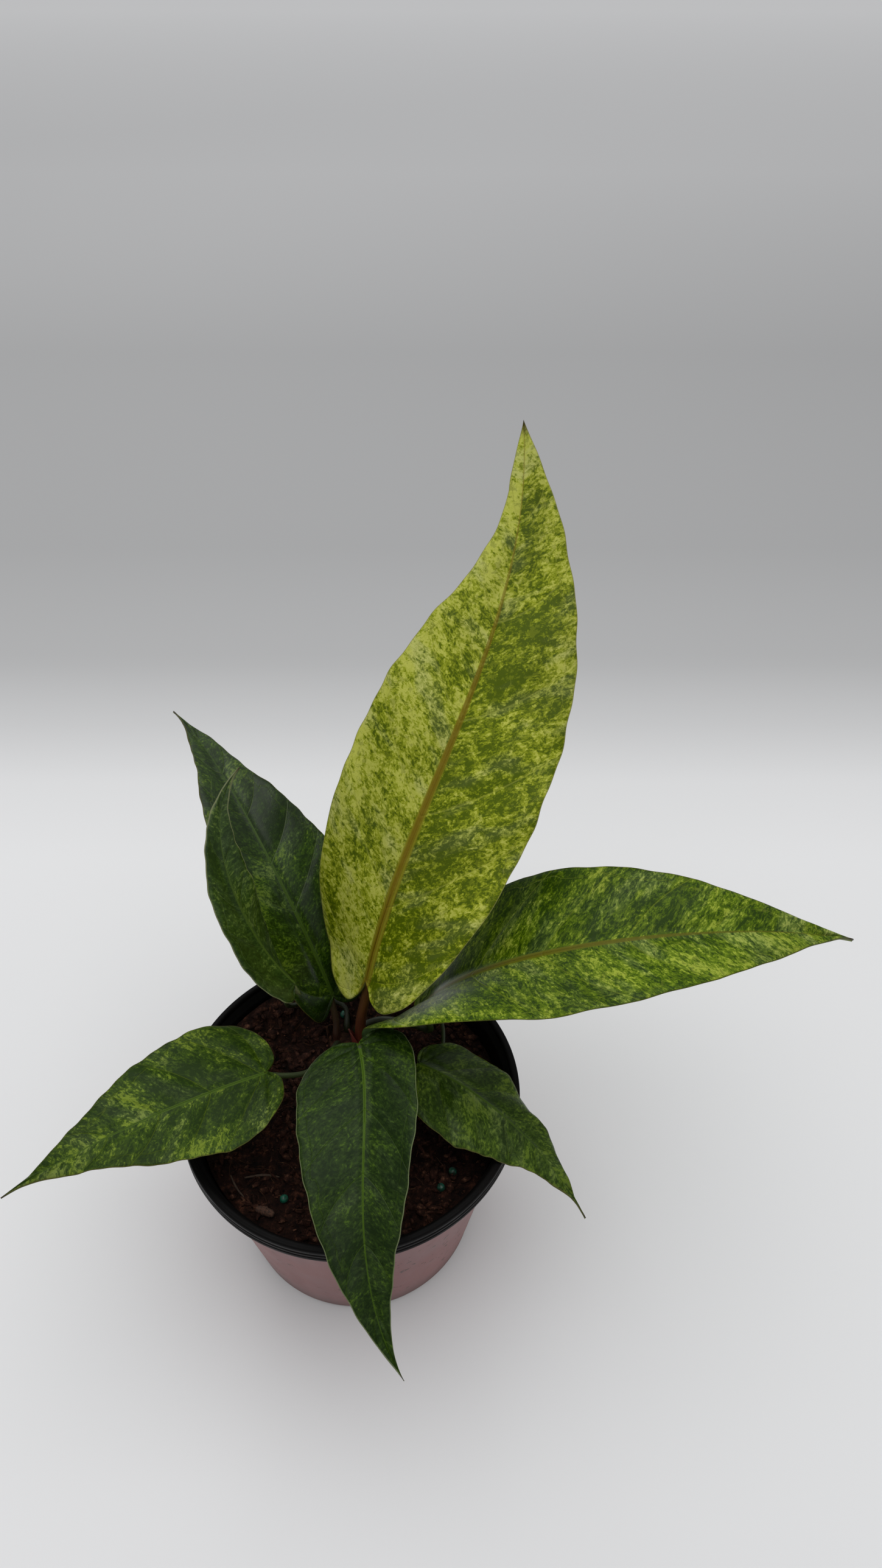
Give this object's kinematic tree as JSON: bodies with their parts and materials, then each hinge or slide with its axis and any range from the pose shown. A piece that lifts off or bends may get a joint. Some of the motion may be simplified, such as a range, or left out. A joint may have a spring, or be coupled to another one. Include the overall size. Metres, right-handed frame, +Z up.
{
  "type": "potted live plant, variegated anthurium",
  "caption": "Potted foliage plant: marbled heart-shaped leaves on slender stalks rise from a crown set in potting mix inside a thin two-tone nursery pot.",
  "frame": {"origin": "centre of the pot's flat underside", "axes": "+Z up along the pot's axis; -Y towards the leaf that hangs over the rim; +X towards the long level leaf"},
  "size_m": [0.3465, 0.2894, 0.331],
  "materials": {
    "rose_plastic": "satin",
    "black_plastic": "satin",
    "potting_mix": "matte",
    "root_tissue": "matte",
    "lime_leaf": "satin",
    "mid_green_leaf": "satin",
    "dark_leaf": "satin",
    "red_stalk": "satin",
    "green_stalk": "satin",
    "pink_sheath": "matte",
    "fertilizer": "satin",
    "dried_wood": "matte"
  },
  "bodies": {
    "root": {"pot": "rose_plastic", "soil": "potting_mix", "rootstock": "root_tissue", "tall_leaf_blade": "lime_leaf", "tall_leaf_stalk": "red_stalk", "right_leaf_blade": "mid_green_leaf", "right_leaf_stalk": "green_stalk", "back_left_leaf_blade": "dark_leaf", "back_left_leaf_stalk": "red_stalk", "folded_leaf_blade": "dark_leaf", "folded_leaf_stalk": "green_stalk", "front_left_leaf_blade": "dark_leaf", "front_left_leaf_stalk": "green_stalk", "front_leaf_blade": "dark_leaf", "front_leaf_stalk": "green_stalk", "front_right_leaf_blade": "dark_leaf", "front_right_leaf_stalk": "green_stalk", "crown_sheath": "pink_sheath", "fertilizer_prill_1": "fertilizer", "fertilizer_prill_2": "fertilizer", "fertilizer_prill_3": "fertilizer", "fertilizer_prill_4": "fertilizer", "twig_1": "dried_wood", "twig_2": "dried_wood", "bark_chip": "dried_wood"}
  },
  "joints": []
}
